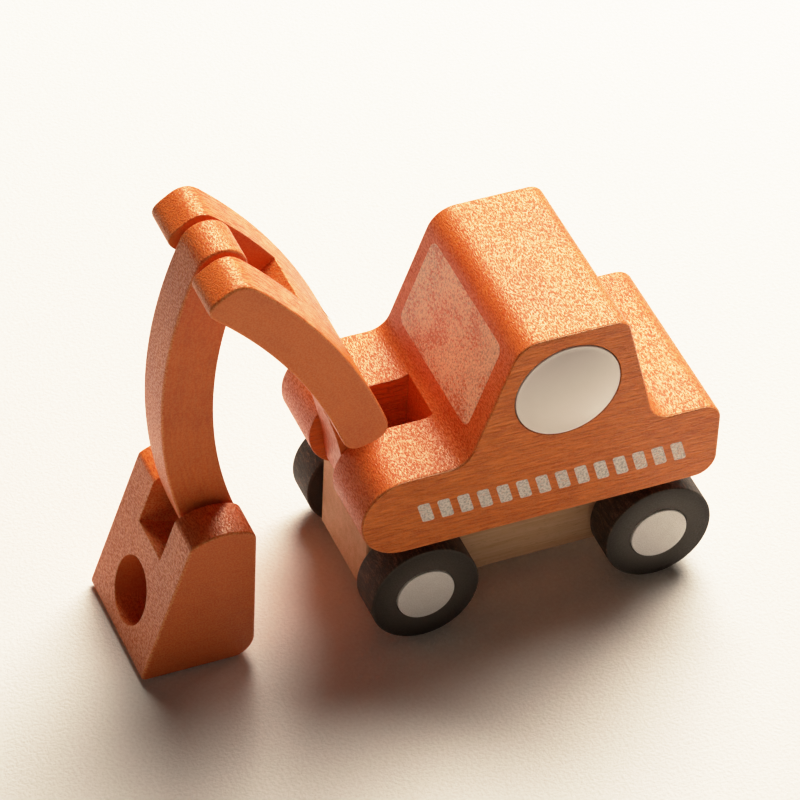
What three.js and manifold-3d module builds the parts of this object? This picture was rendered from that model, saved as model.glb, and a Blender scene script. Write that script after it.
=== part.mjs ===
// Wooden toy excavator: a natural-wood chassis on four black wheels, a painted cab body that
// swivels on it, and a three-part arm of boom, stick and bucket on cross dowels.
//
// Millimetres. +X points forward, to the bucket. +Y is the toy's left side. +Z is up.
// Pieces are laid out about the swivel axis (x = 0, y = 0) with the floor at z = 0. The whole
// assembly is moved at the end, so that its origin is under the middle of its own box.

import * as THREE from 'three';
import { mergeVertices } from 'three/addons/utils/BufferGeometryUtils.js';
import Module from 'manifold-3d';

const wasm = await Module();
wasm.setup();

// ---------------------------------------------------------------------------------------------
// Driving dimensions
// ---------------------------------------------------------------------------------------------

// Fits. FACE_GAP is left between faces that meet, BORE_GAP all round a dowel in its bore.
const FACE_GAP = 0.3;
const BORE_GAP = 0.3;

// Wheels and axles
const WHEEL_RADIUS = 17.5;
const WHEEL_WIDTH = 13;
const WHEEL_EDGE = 0.8;
const WHEEL_SIDE_GAP = 1.9;
const WHEELBASE = 77.3;
const AXLE_RADIUS = 3;
const HUB_RADIUS = 9.25;
const HUB_THICKNESS = 1.3;
const HUB_PROUD = 0.4;
const HUB_EDGE = 0.3;

// Chassis block
const CHASSIS_LENGTH = 104.3;
const CHASSIS_WIDTH = 36.3;
const CHASSIS_HEIGHT = 29.8;
const CHASSIS_EDGE = 0.8;

// Swivel between the chassis and the body
const BODY_ABOVE_WHEELS = 2.7;
const BODY_LIFT = 1.1;
const WASHER_RADIUS = 14;
const WASHER_THICKNESS = 2;
const PEG_RADIUS = 5;
const PEG_HEAD_RADIUS = 8;
const PEG_HEAD_THICKNESS = 4;
const PEG_HEAD_INSET = 1.2;
const PEG_SINK = 20;

// Cab body: one profile, cut across its whole width. X is from the swivel axis, heights are
// above the body's underside.
const BODY_WIDTH = 66.2;
const BODY_EDGE = 0.7;
const BODY_FRONT = 60.6;
const BODY_REAR = 56;
const HOOD_HEIGHT = 29.2;
const ROOF_HEIGHT = 72;
const DECK_HEIGHT = 28.5;
const WINDSHIELD_BASE_X = 27.5;
const WINDSHIELD_TOP_X = 12.5;
const ROOF_REAR_X = -22;
const CAB_BACK_BASE_X = -33.5;
const NOSE_TOP_RADIUS = 14.5;
const NOSE_BOTTOM_RADIUS = 14.1;
const HOOD_FILLET_RADIUS = 7.4;
const BROW_RADIUS = 9.6;
const ROOF_REAR_RADIUS = 5.1;
const DECK_FILLET_RADIUS = 7.6;
const REAR_TOP_RADIUS = 6.3;
const REAR_BOTTOM_RADIUS = 7;
const HOOD_SLOT_WIDTH = 19;
const HOOD_SLOT_BACK_X = 28.9;

// Round porthole buttons, one in each side of the cab. The thickness is at the rim.
const PORTHOLE_RADIUS = 16.8;
const PORTHOLE_X = -3.85;
const PORTHOLE_HEIGHT = 49.8;
const PORTHOLE_THICKNESS = 3.9;
const PORTHOLE_PROUD = 0.2;
const PORTHOLE_RIM = 0.5;
const PORTHOLE_DOME = 3;

// Arm dowels. Each goes in from the toy's right side and ends blind in the left cheek.
const PIN_RADIUS = 3;
const PIN_COVER = 7;

// Boom: a curved bar. Angles are in degrees round the centre of its bend.
const BOOM_PIVOT_X = 48.2;
const BOOM_PIVOT_ABOVE_BODY_BOTTOM = 7.9;
const BOOM_BEND_RADIUS = 156.7;
const BOOM_DEPTH = 14.6;
const BOOM_WIDTH = 48;
const BOOM_PIVOT_ANGLE = 173.6;
const BOOM_CHEEK_ANGLE = 162;
const BOOM_TIP_ANGLE = 130.3;
const BOOM_TIP_SKEW = 0.7;
const BOOM_CORNER = 6;
const BOOM_SLOT_PLAY = 2.1;
const BOOM_SLOT_LENGTH = 34.5;
const STICK_PIN_FROM_TIP = 8.4;

// Stick: a second curved bar, hanging from the boom's tip
const STICK_BEND_RADIUS = 137;
const STICK_DEPTH = 16.4;
const STICK_WIDTH = 14.8;
const STICK_TOP_ANGLE = 22;
const STICK_BOTTOM_ANGLE = -20.5;

// Bucket: a wedge block. Its outline is measured from its dowel.
const BUCKET_WIDTH = 45.6;
const BUCKET_PIN_HEIGHT = 42;
const BUCKET_TOE_AHEAD = 28.9;
const BUCKET_BROW_AHEAD = 13;
const BUCKET_BROW_ABOVE = 7.6;
const BUCKET_CROWN_RADIUS = 19.4;
const BUCKET_BACK_BEHIND = 7.8;
const BUCKET_HEEL_RADIUS = 7;
const BUCKET_TOE_RADIUS = 2.4;
const BUCKET_BACK_TOP_RADIUS = 2.5;
const BUCKET_SLOT_PLAY = 1.6;
const BUCKET_SLOT_DEPTH = 15.4;
const SCOOP_RADIUS = 10.7;
const SCOOP_DEPTH = 15;
const SCOOP_UP_FACE = 16.8;

// The sanded edge of every arm piece
const ARM_EDGE = 0.9;

// Facets
const PROFILE_SEGMENTS = 6;
const EDGE_SEGMENTS = 2;
const ROUND_SEGMENTS = 40;
const BORE_SEGMENTS = 24;

// Overlap that a cutting solid has past the face it cuts through
const CUT_PAST = 5;

// ---------------------------------------------------------------------------------------------
// Heights and widths that follow from them
// ---------------------------------------------------------------------------------------------

const axleZ = WHEEL_RADIUS;
const bodyBottomZ = 2 * WHEEL_RADIUS + BODY_ABOVE_WHEELS;
const chassisTopZ = bodyBottomZ - BODY_LIFT;
const chassisBottomZ = chassisTopZ - CHASSIS_HEIGHT;
const washerTopZ = bodyBottomZ - FACE_GAP;
const washerBottomZ = washerTopZ - WASHER_THICKNESS;
const wheelInnerY = CHASSIS_WIDTH / 2 + WHEEL_SIDE_GAP;
const wheelOuterY = wheelInnerY + WHEEL_WIDTH;
const hubRecess = HUB_THICKNESS - HUB_PROUD + FACE_GAP;
const tongueWidth = HOOD_SLOT_WIDTH - 2 * FACE_GAP;
const boomSlotWidth = STICK_WIDTH + 2 * BOOM_SLOT_PLAY;
const bucketSlotWidth = STICK_WIDTH + 2 * BUCKET_SLOT_PLAY;

const degrees = THREE.MathUtils.degToRad;

// A point at a given radius and angle round a centre
function polar(centre, radius, angle) {
  return new THREE.Vector2(Math.cos(angle), Math.sin(angle)).multiplyScalar(radius).add(centre);
}

// ---------------------------------------------------------------------------------------------
// Solids
// ---------------------------------------------------------------------------------------------

// A closed geometry as a solid that can be joined and cut
function toSolid(geometry) {
  const bare = geometry.clone();
  bare.deleteAttribute('normal');
  bare.deleteAttribute('uv');
  const merged = mergeVertices(bare);
  return new wasm.Manifold(new wasm.Mesh({
    numProp: 3,
    vertProperties: Float32Array.from(merged.attributes.position.array),
    triVerts: Uint32Array.from(merged.index.array),
  }));
}

function toGeometry(solid) {
  const mesh = solid.getMesh();
  const geometry = new THREE.BufferGeometry();
  geometry.setAttribute('position', new THREE.BufferAttribute(mesh.vertProperties, mesh.numProp));
  geometry.setIndex(new THREE.BufferAttribute(mesh.triVerts, 1));
  geometry.computeVertexNormals();
  return geometry;
}

// A profile drawn in the XZ plane, run across the toy with its two outer edges rounded over
function acrossToy(shape, width, edge) {
  const geometry = new THREE.ExtrudeGeometry(shape, {
    depth: width - 2 * edge,
    curveSegments: PROFILE_SEGMENTS,
    bevelEnabled: edge > 0,
    bevelThickness: edge,
    bevelSize: edge,
    bevelOffset: -edge,
    bevelSegments: EDGE_SEGMENTS,
  });
  geometry.translate(0, 0, -(width - 2 * edge) / 2);
  geometry.rotateX(Math.PI / 2);
  return geometry;
}

// A round bar along Y, from one y to another
function barAcross(radius, x, z, fromY, toY, segments = BORE_SEGMENTS) {
  const geometry = new THREE.CylinderGeometry(radius, radius, toY - fromY, segments);
  geometry.translate(x, (fromY + toY) / 2, z);
  return geometry;
}

// A round bar along Z, from one height to another
function barUpright(radius, fromZ, toZ, segments = BORE_SEGMENTS) {
  const geometry = new THREE.CylinderGeometry(radius, radius, toZ - fromZ, segments);
  geometry.rotateX(Math.PI / 2);
  geometry.translate(0, 0, (fromZ + toZ) / 2);
  return geometry;
}

// The bore of an arm dowel: open on the right side of a block, blind in its left cheek
function pinBore(blockWidth, pivot) {
  const radius = PIN_RADIUS + BORE_GAP;
  const fromY = -blockWidth / 2 - CUT_PAST;
  return toSolid(barAcross(radius, pivot.x, pivot.y, fromY, blockWidth / 2 - PIN_COVER));
}

// The dowel that fits that bore
function pinGeometry(blockWidth, pivot) {
  const fromY = -blockWidth / 2 + FACE_GAP;
  const toY = blockWidth / 2 - PIN_COVER - FACE_GAP;
  return barAcross(PIN_RADIUS, pivot.x, pivot.y, fromY, toY);
}

// A closed outline with an arc at each corner. A corner is [x, y, radius].
function roundedOutline(corners) {
  const shape = new THREE.Shape();
  corners.forEach(([x, y, radius], i) => {
    const corner = new THREE.Vector2(x, y);
    const before = corners.at(i - 1);
    const after = corners[(i + 1) % corners.length];
    const inward = new THREE.Vector2(before[0], before[1]).sub(corner).normalize();
    const outward = new THREE.Vector2(after[0], after[1]).sub(corner).normalize();
    const half = Math.acos(inward.dot(outward)) / 2;
    const middle = inward.clone().add(outward).normalize();
    const centre = middle.multiplyScalar(radius / Math.sin(half)).add(corner);
    const start = inward.multiplyScalar(radius / Math.tan(half)).add(corner);
    const end = outward.multiplyScalar(radius / Math.tan(half)).add(corner);
    const turn = start.clone().sub(corner).cross(end.clone().sub(corner));
    const startAngle = start.clone().sub(centre).angle();
    const endAngle = end.clone().sub(centre).angle();
    shape.absarc(centre.x, centre.y, radius, startAngle, endAngle, turn > 0);
  });
  return shape;
}

// ---------------------------------------------------------------------------------------------
// Chassis, axles and wheels
// ---------------------------------------------------------------------------------------------

function chassisGeometry() {
  const outline = new THREE.Shape();
  const front = CHASSIS_LENGTH / 2;
  outline.moveTo(-front, chassisBottomZ);
  outline.lineTo(front, chassisBottomZ);
  outline.lineTo(front, chassisTopZ);
  outline.lineTo(-front, chassisTopZ);
  outline.closePath();
  let block = toSolid(acrossToy(outline, CHASSIS_WIDTH, CHASSIS_EDGE));
  const boreEnd = CHASSIS_WIDTH / 2 + CUT_PAST;
  for (const x of [WHEELBASE / 2, -WHEELBASE / 2]) {
    block = block.subtract(toSolid(barAcross(AXLE_RADIUS + BORE_GAP, x, axleZ, -boreEnd, boreEnd)));
  }
  const headRoom = chassisBottomZ + PEG_HEAD_INSET + PEG_HEAD_THICKNESS + FACE_GAP;
  const washerFloor = washerBottomZ - FACE_GAP;
  const cuts = [
    barUpright(PEG_RADIUS + BORE_GAP, chassisBottomZ - CUT_PAST, chassisTopZ + CUT_PAST),
    barUpright(PEG_HEAD_RADIUS + BORE_GAP, chassisBottomZ - CUT_PAST, headRoom),
    barUpright(WASHER_RADIUS + BORE_GAP, washerFloor, chassisTopZ + CUT_PAST),
  ];
  for (const cut of cuts) {
    block = block.subtract(toSolid(cut));
  }
  return toGeometry(block);
}

function axleGeometry(x) {
  const end = wheelOuterY - hubRecess;
  return barAcross(AXLE_RADIUS, x, axleZ, -end, end);
}

// A wheel turned about Y. Side is +1 for the left wheel and -1 for the right one.
function wheelGeometry(x, side) {
  const bore = AXLE_RADIUS + BORE_GAP;
  const recessRadius = HUB_RADIUS + BORE_GAP;
  const profile = new THREE.Path();
  profile.moveTo(bore, 0);
  profile.lineTo(WHEEL_RADIUS - WHEEL_EDGE, 0);
  profile.absarc(WHEEL_RADIUS - WHEEL_EDGE, WHEEL_EDGE, WHEEL_EDGE, -Math.PI / 2, 0, false);
  const outerEdge = WHEEL_WIDTH - WHEEL_EDGE;
  profile.absarc(WHEEL_RADIUS - WHEEL_EDGE, outerEdge, WHEEL_EDGE, 0, Math.PI / 2, false);
  profile.lineTo(recessRadius, WHEEL_WIDTH);
  profile.lineTo(recessRadius, WHEEL_WIDTH - hubRecess);
  profile.lineTo(bore, WHEEL_WIDTH - hubRecess);
  profile.lineTo(bore, 0);
  const geometry = new THREE.LatheGeometry(profile.getPoints(1), ROUND_SEGMENTS);
  return placeTurned(geometry, x, axleZ, wheelInnerY, side);
}

// The round cap on an axle's end, set in the wheel's outer face
function hubGeometry(x, side) {
  const profile = [
    new THREE.Vector2(0, 0),
    new THREE.Vector2(HUB_RADIUS, 0),
    new THREE.Vector2(HUB_RADIUS, HUB_THICKNESS - HUB_EDGE),
    new THREE.Vector2(HUB_RADIUS - HUB_EDGE, HUB_THICKNESS),
    new THREE.Vector2(0, HUB_THICKNESS),
  ];
  const geometry = new THREE.LatheGeometry(profile, ROUND_SEGMENTS);
  return placeTurned(geometry, x, axleZ, wheelOuterY + HUB_PROUD - HUB_THICKNESS, side);
}

// Puts a turned piece in place, with its axis, from its foot up, running outward along Y
function placeTurned(geometry, x, z, innerY, side) {
  geometry.rotateX(side > 0 ? 0 : Math.PI);
  geometry.translate(x, side * innerY, z);
  return geometry;
}

// ---------------------------------------------------------------------------------------------
// Swivel
// ---------------------------------------------------------------------------------------------

function washerGeometry() {
  const inner = PEG_RADIUS + BORE_GAP;
  const profile = [
    new THREE.Vector2(inner, washerBottomZ),
    new THREE.Vector2(WASHER_RADIUS, washerBottomZ),
    new THREE.Vector2(WASHER_RADIUS, washerTopZ),
    new THREE.Vector2(inner, washerTopZ),
    new THREE.Vector2(inner, washerBottomZ),
  ];
  return new THREE.LatheGeometry(profile, BORE_SEGMENTS).rotateX(Math.PI / 2);
}

// A headed dowel: its head sits up inside the chassis, its shank is glued into the body
function pegGeometry() {
  const footZ = chassisBottomZ + PEG_HEAD_INSET;
  const shoulderZ = footZ + PEG_HEAD_THICKNESS;
  const topZ = bodyBottomZ + PEG_SINK - FACE_GAP;
  const profile = [
    new THREE.Vector2(0, footZ),
    new THREE.Vector2(PEG_HEAD_RADIUS, footZ),
    new THREE.Vector2(PEG_HEAD_RADIUS, shoulderZ),
    new THREE.Vector2(PEG_RADIUS, shoulderZ),
    new THREE.Vector2(PEG_RADIUS, topZ),
    new THREE.Vector2(0, topZ),
  ];
  return new THREE.LatheGeometry(profile, BORE_SEGMENTS).rotateX(Math.PI / 2);
}

// ---------------------------------------------------------------------------------------------
// Cab body and its portholes
// ---------------------------------------------------------------------------------------------

const boomPivot = new THREE.Vector2(BOOM_PIVOT_X, bodyBottomZ + BOOM_PIVOT_ABOVE_BODY_BOTTOM);

function bodyGeometry() {
  const hoodZ = bodyBottomZ + HOOD_HEIGHT;
  const roofZ = bodyBottomZ + ROOF_HEIGHT;
  const deckZ = bodyBottomZ + DECK_HEIGHT;
  const outline = roundedOutline([
    [BODY_FRONT, bodyBottomZ, NOSE_BOTTOM_RADIUS],
    [BODY_FRONT, hoodZ, NOSE_TOP_RADIUS],
    [WINDSHIELD_BASE_X, hoodZ, HOOD_FILLET_RADIUS],
    [WINDSHIELD_TOP_X, roofZ, BROW_RADIUS],
    [ROOF_REAR_X, roofZ, ROOF_REAR_RADIUS],
    [CAB_BACK_BASE_X, deckZ, DECK_FILLET_RADIUS],
    [-BODY_REAR, deckZ, REAR_TOP_RADIUS],
    [-BODY_REAR, bodyBottomZ, REAR_BOTTOM_RADIUS],
  ]);
  let body = toSolid(acrossToy(outline, BODY_WIDTH, BODY_EDGE));

  // The slot for the boom's tongue, open to the front, the top and below
  const slotLength = BODY_FRONT - HOOD_SLOT_BACK_X + CUT_PAST;
  const slotHeight = ROOF_HEIGHT + 2 * CUT_PAST;
  const slot = new THREE.BoxGeometry(slotLength, HOOD_SLOT_WIDTH, slotHeight);
  slot.translate(HOOD_SLOT_BACK_X + slotLength / 2, 0, bodyBottomZ + ROOF_HEIGHT / 2);
  body = body.subtract(toSolid(slot));

  const recessDepth = PORTHOLE_THICKNESS - PORTHOLE_PROUD + FACE_GAP;
  const recessRadius = PORTHOLE_RADIUS + BORE_GAP;
  const sideY = BODY_WIDTH / 2;
  const portholeZ = bodyBottomZ + PORTHOLE_HEIGHT;
  for (const [fromY, toY] of [[sideY - recessDepth, sideY + CUT_PAST],
    [-sideY - CUT_PAST, -sideY + recessDepth]]) {
    const recess = barAcross(recessRadius, PORTHOLE_X, portholeZ, fromY, toY, ROUND_SEGMENTS);
    body = body.subtract(toSolid(recess));
  }

  body = body.subtract(pinBore(BODY_WIDTH, boomPivot));
  const pegBoreTop = bodyBottomZ + PEG_SINK;
  const pegBore = barUpright(PEG_RADIUS + BORE_GAP, bodyBottomZ - CUT_PAST, pegBoreTop);
  return toGeometry(body.subtract(toSolid(pegBore)));
}

// A disc with a thin flat rim round a shallow spherical dome
function portholeGeometry(side) {
  const domeRadius = PORTHOLE_RADIUS - PORTHOLE_RIM;
  const sphereRadius = (domeRadius ** 2 + PORTHOLE_DOME ** 2) / (2 * PORTHOLE_DOME);
  const sphereMiddle = PORTHOLE_THICKNESS + PORTHOLE_DOME - sphereRadius;
  const rimAngle = Math.asin(domeRadius / sphereRadius);
  const profile = new THREE.Path();
  profile.moveTo(0, 0);
  profile.lineTo(PORTHOLE_RADIUS, 0);
  profile.lineTo(PORTHOLE_RADIUS, PORTHOLE_THICKNESS);
  profile.lineTo(domeRadius, PORTHOLE_THICKNESS);
  const straightUp = Math.PI / 2;
  profile.absarc(0, sphereMiddle, sphereRadius, straightUp - rimAngle, straightUp, false);
  const points = profile.getPoints(PROFILE_SEGMENTS / 2);
  points.at(-1).x = 0;
  const geometry = new THREE.LatheGeometry(points, ROUND_SEGMENTS);
  const innerY = BODY_WIDTH / 2 + PORTHOLE_PROUD - PORTHOLE_THICKNESS;
  return placeTurned(geometry, PORTHOLE_X, bodyBottomZ + PORTHOLE_HEIGHT, innerY, side);
}

// ---------------------------------------------------------------------------------------------
// Boom
// ---------------------------------------------------------------------------------------------

const boomCentre = polar(boomPivot, -BOOM_BEND_RADIUS, degrees(BOOM_PIVOT_ANGLE));
const boomTipAngle = degrees(BOOM_TIP_ANGLE);
const stickPinAngle = boomTipAngle + STICK_PIN_FROM_TIP / BOOM_BEND_RADIUS;
const stickPivot = polar(boomCentre, BOOM_BEND_RADIUS, stickPinAngle);

// A curved bar round a centre, between two square ends whose corners are rounded. The far end's
// outer corner stands ahead of its inner one by twice the skew.
function squareEndedBar(centre, bendRadius, depth, nearAngle, farAngle, skew, cornerCut) {
  const outer = bendRadius + depth / 2;
  const inner = bendRadius - depth / 2;
  const shape = new THREE.Shape();
  const corner = (radius, angle, turn) => ({
    tip: polar(centre, radius, angle),
    onArc: angle + turn * cornerCut / radius,
  });
  const nearOuter = corner(outer, nearAngle, -1);
  const farOuter = corner(outer, farAngle + skew, 1);
  const farInner = corner(inner, farAngle - skew, 1);
  const nearInner = corner(inner, nearAngle, -1);
  const alongEnd = (from, to) => from.clone().lerp(to, cornerCut / from.distanceTo(to));
  const start = polar(centre, outer, nearOuter.onArc);
  shape.moveTo(start.x, start.y);
  shape.absarc(centre.x, centre.y, outer, nearOuter.onArc, farOuter.onArc, true);
  roundEnd(shape, farOuter.tip, alongEnd(farOuter.tip, farInner.tip));
  const farTurn = alongEnd(farInner.tip, farOuter.tip);
  shape.lineTo(farTurn.x, farTurn.y);
  roundEnd(shape, farInner.tip, polar(centre, inner, farInner.onArc));
  shape.absarc(centre.x, centre.y, inner, farInner.onArc, nearInner.onArc, false);
  roundEnd(shape, nearInner.tip, alongEnd(nearInner.tip, nearOuter.tip));
  const nearTurn = alongEnd(nearOuter.tip, nearInner.tip);
  shape.lineTo(nearTurn.x, nearTurn.y);
  roundEnd(shape, nearOuter.tip, start);
  return shape;
}

// Rounds a corner on to the point where the next stretch starts
function roundEnd(shape, corner, next) {
  shape.quadraticCurveTo(corner.x, corner.y, next.x, next.y);
}

// A curved bar with full round ends. It runs between two angles round its bend's centre, the
// first being the larger one.
function roundEndedBar(centre, bendRadius, depth, highAngle, lowAngle) {
  const outer = bendRadius + depth / 2;
  const inner = bendRadius - depth / 2;
  const high = polar(centre, bendRadius, highAngle);
  const low = polar(centre, bendRadius, lowAngle);
  const shape = new THREE.Shape();
  shape.absarc(centre.x, centre.y, outer, highAngle, lowAngle, true);
  shape.absarc(low.x, low.y, depth / 2, lowAngle, lowAngle - Math.PI, true);
  shape.absarc(centre.x, centre.y, inner, lowAngle, highAngle, false);
  shape.absarc(high.x, high.y, depth / 2, highAngle - Math.PI, highAngle - 2 * Math.PI, true);
  return shape;
}

function boomGeometry() {
  const cheekAngle = degrees(BOOM_CHEEK_ANGLE);
  const cheeks = squareEndedBar(boomCentre, BOOM_BEND_RADIUS, BOOM_DEPTH, cheekAngle,
    boomTipAngle, degrees(BOOM_TIP_SKEW), BOOM_CORNER);
  let boom = toSolid(acrossToy(cheeks, BOOM_WIDTH, ARM_EDGE));

  // The slot for the stick, open at the tip. Its end wall stands square to the bar.
  const slotEndAngle = boomTipAngle + BOOM_SLOT_LENGTH / BOOM_BEND_RADIUS;
  const slotEnd = polar(boomCentre, BOOM_BEND_RADIUS, slotEndAngle);
  const slotReach = BOOM_SLOT_LENGTH + 2 * BOOM_DEPTH;
  const slot = new THREE.BoxGeometry(3 * BOOM_DEPTH, boomSlotWidth, slotReach);
  slot.translate(0, 0, slotReach / 2);
  slot.rotateY(Math.PI - slotEndAngle);
  slot.translate(slotEnd.x, 0, slotEnd.y);
  boom = boom.subtract(toSolid(slot));

  // The narrower tongue starts behind the slot's end wall and runs on past the cheeks
  const pivotAngle = degrees(BOOM_PIVOT_ANGLE);
  const tongueStart = (cheekAngle + slotEndAngle) / 2;
  const tongue = roundEndedBar(boomCentre, BOOM_BEND_RADIUS, BOOM_DEPTH, pivotAngle, tongueStart);
  boom = boom.add(toSolid(acrossToy(tongue, tongueWidth, 0)));

  const boreEnd = tongueWidth / 2 + CUT_PAST;
  const bore = barAcross(PIN_RADIUS + BORE_GAP, boomPivot.x, boomPivot.y, -boreEnd, boreEnd);
  boom = boom.subtract(toSolid(bore));
  return toGeometry(boom.subtract(pinBore(BOOM_WIDTH, stickPivot)));
}

// ---------------------------------------------------------------------------------------------
// Stick
// ---------------------------------------------------------------------------------------------

const stickCentre = polar(stickPivot, -STICK_BEND_RADIUS, degrees(STICK_TOP_ANGLE));
const bucketPivot = polar(stickCentre, STICK_BEND_RADIUS, degrees(STICK_BOTTOM_ANGLE));

function stickGeometry() {
  const bar = roundEndedBar(stickCentre, STICK_BEND_RADIUS, STICK_DEPTH,
    degrees(STICK_TOP_ANGLE), degrees(STICK_BOTTOM_ANGLE));
  let stick = toSolid(acrossToy(bar, STICK_WIDTH, ARM_EDGE));
  const boreEnd = STICK_WIDTH / 2 + CUT_PAST;
  for (const pivot of [stickPivot, bucketPivot]) {
    const bore = barAcross(PIN_RADIUS + BORE_GAP, pivot.x, pivot.y, -boreEnd, boreEnd);
    stick = stick.subtract(toSolid(bore));
  }
  return toGeometry(stick);
}

// ---------------------------------------------------------------------------------------------
// Bucket
// ---------------------------------------------------------------------------------------------

function bucketGeometry() {
  const bottomZ = bucketPivot.y - BUCKET_PIN_HEIGHT;
  const backX = bucketPivot.x - BUCKET_BACK_BEHIND;
  const toe = new THREE.Vector2(bucketPivot.x + BUCKET_TOE_AHEAD, bottomZ);
  const brow = new THREE.Vector2(bucketPivot.x + BUCKET_BROW_AHEAD,
    bucketPivot.y + BUCKET_BROW_ABOVE);
  const faceUp = brow.clone().sub(toe).normalize();
  const faceOut = new THREE.Vector2(faceUp.y, -faceUp.x);

  // The crown is an arc from the brow back to the same height at the bucket's back
  const crownX = (brow.x + backX) / 2;
  const crownDrop = Math.sqrt(BUCKET_CROWN_RADIUS ** 2 - (brow.x - crownX) ** 2);
  const crown = new THREE.Vector2(crownX, brow.y - crownDrop);
  const browAngle = brow.clone().sub(crown).angle();
  const backAngle = Math.PI - browAngle - BUCKET_BACK_TOP_RADIUS / BUCKET_CROWN_RADIUS;

  const outline = new THREE.Shape();
  const toeUp = faceUp.clone().multiplyScalar(BUCKET_TOE_RADIUS).add(toe);
  outline.moveTo(toeUp.x, toeUp.y);
  outline.absarc(crown.x, crown.y, BUCKET_CROWN_RADIUS, browAngle, backAngle, false);
  roundEnd(outline, new THREE.Vector2(backX, brow.y),
    new THREE.Vector2(backX, brow.y - BUCKET_BACK_TOP_RADIUS));
  const heel = new THREE.Vector2(backX + BUCKET_HEEL_RADIUS, bottomZ + BUCKET_HEEL_RADIUS);
  outline.absarc(heel.x, heel.y, BUCKET_HEEL_RADIUS, Math.PI, 1.5 * Math.PI, false);
  outline.lineTo(toe.x - BUCKET_TOE_RADIUS, bottomZ);
  roundEnd(outline, toe, toeUp);
  let bucket = toSolid(acrossToy(outline, BUCKET_WIDTH, ARM_EDGE));

  // The slot for the stick is cut square to the sloping face, out of the top and the back
  const floorFront = faceUp.clone().multiplyScalar(-BUCKET_SLOT_DEPTH).add(brow);
  const slotSize = 2 * BUCKET_PIN_HEIGHT;
  const slot = new THREE.BoxGeometry(2 * slotSize, bucketSlotWidth, slotSize);
  slot.translate(0, 0, slotSize / 2);
  slot.rotateY(-faceOut.angle());
  slot.translate(floorFront.x, 0, floorFront.y);
  bucket = bucket.subtract(toSolid(slot));

  // The round scoop hollow is drilled square to the sloping face
  const scoopMouth = faceUp.clone().multiplyScalar(SCOOP_UP_FACE).add(toe);
  const scoopLength = SCOOP_DEPTH + CUT_PAST;
  const scoop = new THREE.CylinderGeometry(SCOOP_RADIUS, SCOOP_RADIUS, scoopLength, ROUND_SEGMENTS);
  scoop.rotateZ(Math.PI / 2);
  scoop.translate(scoopLength / 2 - SCOOP_DEPTH, 0, 0);
  scoop.rotateY(-faceOut.angle());
  scoop.translate(scoopMouth.x, 0, scoopMouth.y);
  bucket = bucket.subtract(toSolid(scoop));

  return toGeometry(bucket.subtract(pinBore(BUCKET_WIDTH, bucketPivot)));
}

// ---------------------------------------------------------------------------------------------
// Materials and assembly
// ---------------------------------------------------------------------------------------------

const PAINT = { color: 0xd8693a, roughness: 0.45, metalness: 0 };
const BARE_WOOD = { color: 0xc99a72, roughness: 0.7, metalness: 0 };
const BLACK_STAIN = { color: 0x2b2522, roughness: 0.75, metalness: 0 };
const HUB_WHITE = { color: 0xcfc8bf, roughness: 0.6, metalness: 0 };
const PORTHOLE_WHITE = { color: 0xe9e2d8, roughness: 0.25, metalness: 0 };

const toy = new THREE.Group();

function addPiece(name, geometry, finish) {
  const mesh = new THREE.Mesh(geometry, new THREE.MeshStandardMaterial(finish));
  mesh.name = name;
  toy.add(mesh);
}

addPiece('chassis_block', chassisGeometry(), BARE_WOOD);
addPiece('swivel_washer', washerGeometry(), BARE_WOOD);
addPiece('swivel_peg', pegGeometry(), BARE_WOOD);

for (const [end, x] of [['front', WHEELBASE / 2], ['rear', -WHEELBASE / 2]]) {
  addPiece(`${end}_axle`, axleGeometry(x), BARE_WOOD);
  for (const [flank, side] of [['left', 1], ['right', -1]]) {
    addPiece(`${end}_wheel_${flank}`, wheelGeometry(x, side), BLACK_STAIN);
    addPiece(`${end}_hub_cap_${flank}`, hubGeometry(x, side), HUB_WHITE);
  }
}

addPiece('cab_body', bodyGeometry(), PAINT);
addPiece('porthole_left', portholeGeometry(1), PORTHOLE_WHITE);
addPiece('porthole_right', portholeGeometry(-1), PORTHOLE_WHITE);
addPiece('boom_pin', pinGeometry(BODY_WIDTH, boomPivot), BARE_WOOD);

addPiece('boom', boomGeometry(), PAINT);
addPiece('stick_pin', pinGeometry(BOOM_WIDTH, stickPivot), BARE_WOOD);
addPiece('stick', stickGeometry(), PAINT);
addPiece('bucket', bucketGeometry(), PAINT);
addPiece('bucket_pin', pinGeometry(BUCKET_WIDTH, bucketPivot), BARE_WOOD);

// The origin goes under the middle of the whole toy, on the surface that it stands on
const box = new THREE.Box3().setFromObject(toy);
const middle = box.getCenter(new THREE.Vector3());
toy.position.set(-middle.x, -middle.y, -box.min.z);

export default toy;
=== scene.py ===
"""Looks of the wooden toy excavator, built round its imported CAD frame."""

import math

import bmesh
import bpy
from mathutils import Matrix, Vector


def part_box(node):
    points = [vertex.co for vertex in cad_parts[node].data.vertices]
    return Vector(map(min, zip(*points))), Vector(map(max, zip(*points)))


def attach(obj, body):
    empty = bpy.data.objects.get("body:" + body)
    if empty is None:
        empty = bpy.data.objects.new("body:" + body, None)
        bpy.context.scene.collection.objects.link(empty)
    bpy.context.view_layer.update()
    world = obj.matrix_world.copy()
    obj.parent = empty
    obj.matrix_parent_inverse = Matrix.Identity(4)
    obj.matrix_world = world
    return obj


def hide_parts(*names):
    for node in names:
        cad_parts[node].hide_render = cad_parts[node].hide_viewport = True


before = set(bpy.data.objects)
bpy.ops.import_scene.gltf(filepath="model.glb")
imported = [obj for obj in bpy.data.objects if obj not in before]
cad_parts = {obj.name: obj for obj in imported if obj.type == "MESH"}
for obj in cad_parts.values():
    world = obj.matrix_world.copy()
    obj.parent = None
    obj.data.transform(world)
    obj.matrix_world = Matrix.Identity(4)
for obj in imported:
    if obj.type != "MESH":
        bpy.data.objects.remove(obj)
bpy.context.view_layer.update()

MM = 0.001

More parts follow.
